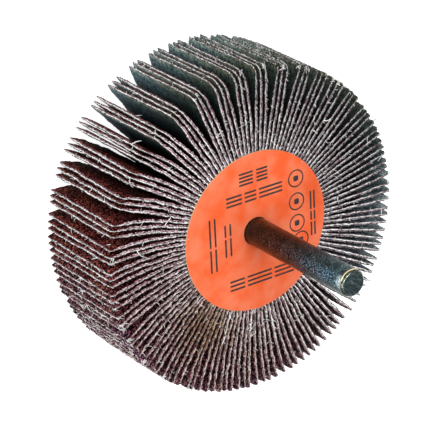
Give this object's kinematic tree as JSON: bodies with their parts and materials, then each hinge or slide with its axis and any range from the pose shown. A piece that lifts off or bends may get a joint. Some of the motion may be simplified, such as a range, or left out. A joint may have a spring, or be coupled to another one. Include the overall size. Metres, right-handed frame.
{
  "type": "flap wheel",
  "caption": "Mounted flap wheel: strips of abrasive cloth stand in a ring around a resin hub on a plain steel shank, for sanding and deburring in a drill or die grinder.",
  "frame": {"origin": "centre of the rear face, on the shank's axis, in the plane on which the wheel stands", "axes": "+Z runs along the shank from the wheel's rear face to the shank's free end; +X points 1.5 degrees past the middle of the first flap pack; angles about +Z count the packs"},
  "size_m": [0.0762, 0.0762, 0.0601],
  "materials": {
    "shank_steel": "cold drawn, mottled, slightly oiled",
    "cast_resin": "poured resin, dull",
    "label_card": "flat orange print on coated card",
    "abrasive_cloth": "cloth with a grain coat on one side and frayed cut edges"
  },
  "bodies": {
    "root": {"shank": "shank_steel", "resin_hub": "cast_resin", "front_label": "label_card", "flap_pack_01": "abrasive_cloth", "flap_pack_02": "abrasive_cloth", "flap_pack_03": "abrasive_cloth", "flap_pack_04": "abrasive_cloth", "flap_pack_05": "abrasive_cloth", "flap_pack_06": "abrasive_cloth", "flap_pack_07": "abrasive_cloth", "flap_pack_08": "abrasive_cloth", "flap_pack_09": "abrasive_cloth", "flap_pack_10": "abrasive_cloth", "flap_pack_11": "abrasive_cloth", "flap_pack_12": "abrasive_cloth", "flap_pack_13": "abrasive_cloth", "flap_pack_14": "abrasive_cloth", "flap_pack_15": "abrasive_cloth", "flap_pack_16": "abrasive_cloth", "flap_pack_17": "abrasive_cloth", "flap_pack_18": "abrasive_cloth", "flap_pack_19": "abrasive_cloth", "flap_pack_20": "abrasive_cloth", "flap_pack_21": "abrasive_cloth", "flap_pack_22": "abrasive_cloth", "flap_pack_23": "abrasive_cloth", "flap_pack_24": "abrasive_cloth", "flap_pack_25": "abrasive_cloth", "flap_pack_26": "abrasive_cloth", "flap_pack_27": "abrasive_cloth", "flap_pack_28": "abrasive_cloth", "flap_pack_29": "abrasive_cloth", "flap_pack_30": "abrasive_cloth", "flap_pack_31": "abrasive_cloth", "flap_pack_32": "abrasive_cloth", "flap_pack_33": "abrasive_cloth", "flap_pack_34": "abrasive_cloth", "flap_pack_35": "abrasive_cloth", "flap_pack_36": "abrasive_cloth", "flap_pack_37": "abrasive_cloth", "flap_pack_38": "abrasive_cloth", "flap_pack_39": "abrasive_cloth", "flap_pack_40": "abrasive_cloth", "flap_pack_41": "abrasive_cloth", "flap_pack_42": "abrasive_cloth"}
  },
  "joints": []
}
